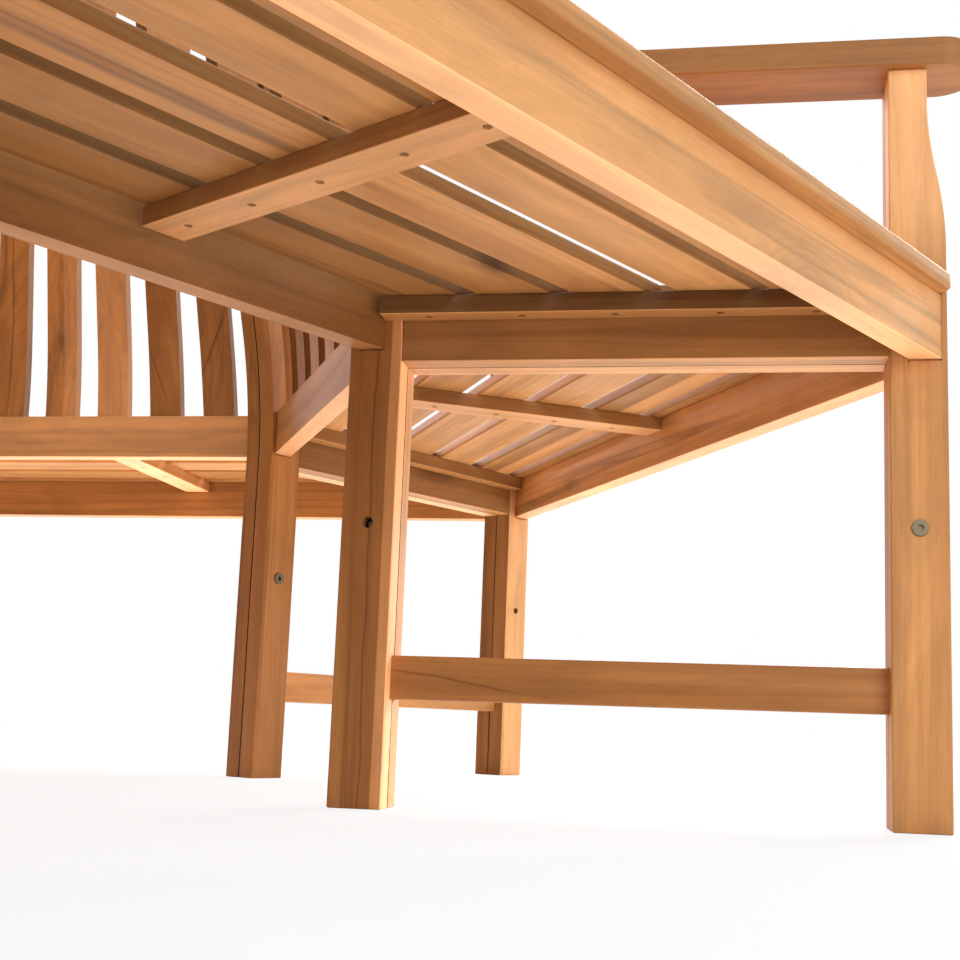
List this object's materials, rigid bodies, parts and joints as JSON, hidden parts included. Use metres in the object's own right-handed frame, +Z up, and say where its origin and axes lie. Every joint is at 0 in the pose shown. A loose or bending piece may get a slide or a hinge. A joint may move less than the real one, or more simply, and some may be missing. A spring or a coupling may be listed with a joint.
{
  "type": "hexagonal tree bench",
  "caption": "Six-sided slatted teak bench that rings a tree, with an outward-facing seat, leaning slatted backrest, armrests at the corners and bolted double frames.",
  "frame": {"origin": "centre of the ring on the floor, which is where the tree stands", "axes": "+Z up; +X runs from the tree axis along the radial frame 1, +Y completes a right-handed frame"},
  "size_m": [2.0178, 1.756, 0.88],
  "materials": {
    "teak_slats": "satin",
    "teak_back": "satin",
    "teak_boards": "satin",
    "teak_posts": "satin",
    "plated_steel": "plated"
  },
  "bodies": {
    "root": {"seat_slats_1": "teak_slats", "seat_slats_2": "teak_slats", "seat_slats_3": "teak_slats", "seat_slats_4": "teak_slats", "seat_slats_5": "teak_slats", "seat_slats_6": "teak_slats", "back_slats_1": "teak_back", "back_slats_2": "teak_back", "back_slats_3": "teak_back", "back_slats_4": "teak_back", "back_slats_5": "teak_back", "back_slats_6": "teak_back", "outer_apron_1": "teak_boards", "outer_apron_2": "teak_boards", "outer_apron_3": "teak_boards", "outer_apron_4": "teak_boards", "outer_apron_5": "teak_boards", "outer_apron_6": "teak_boards", "inner_rail_1": "teak_boards", "inner_rail_2": "teak_boards", "inner_rail_3": "teak_boards", "inner_rail_4": "teak_boards", "inner_rail_5": "teak_boards", "inner_rail_6": "teak_boards", "top_rail_1": "teak_boards", "top_rail_2": "teak_boards", "top_rail_3": "teak_boards", "top_rail_4": "teak_boards", "top_rail_5": "teak_boards", "top_rail_6": "teak_boards", "inner_post_1": "teak_posts", "inner_post_2": "teak_posts", "inner_post_3": "teak_posts", "inner_post_4": "teak_posts", "inner_post_5": "teak_posts", "inner_post_6": "teak_posts", "outer_leg_1": "teak_posts", "outer_leg_2": "teak_posts", "outer_leg_3": "teak_posts", "outer_leg_4": "teak_posts", "outer_leg_5": "teak_posts", "outer_leg_6": "teak_posts", "side_rail_1": "teak_boards", "side_rail_2": "teak_boards", "side_rail_3": "teak_boards", "side_rail_4": "teak_boards", "side_rail_5": "teak_boards", "side_rail_6": "teak_boards", "armrest_1": "teak_boards", "armrest_2": "teak_boards", "armrest_3": "teak_boards", "armrest_4": "teak_boards", "armrest_5": "teak_boards", "armrest_6": "teak_boards", "stretchers": "teak_boards", "cleats": "teak_boards", "seat_battens": "teak_boards", "bolts": "plated_steel", "sleeve_nuts": "plated_steel", "slat_screws": "plated_steel"}
  },
  "joints": []
}
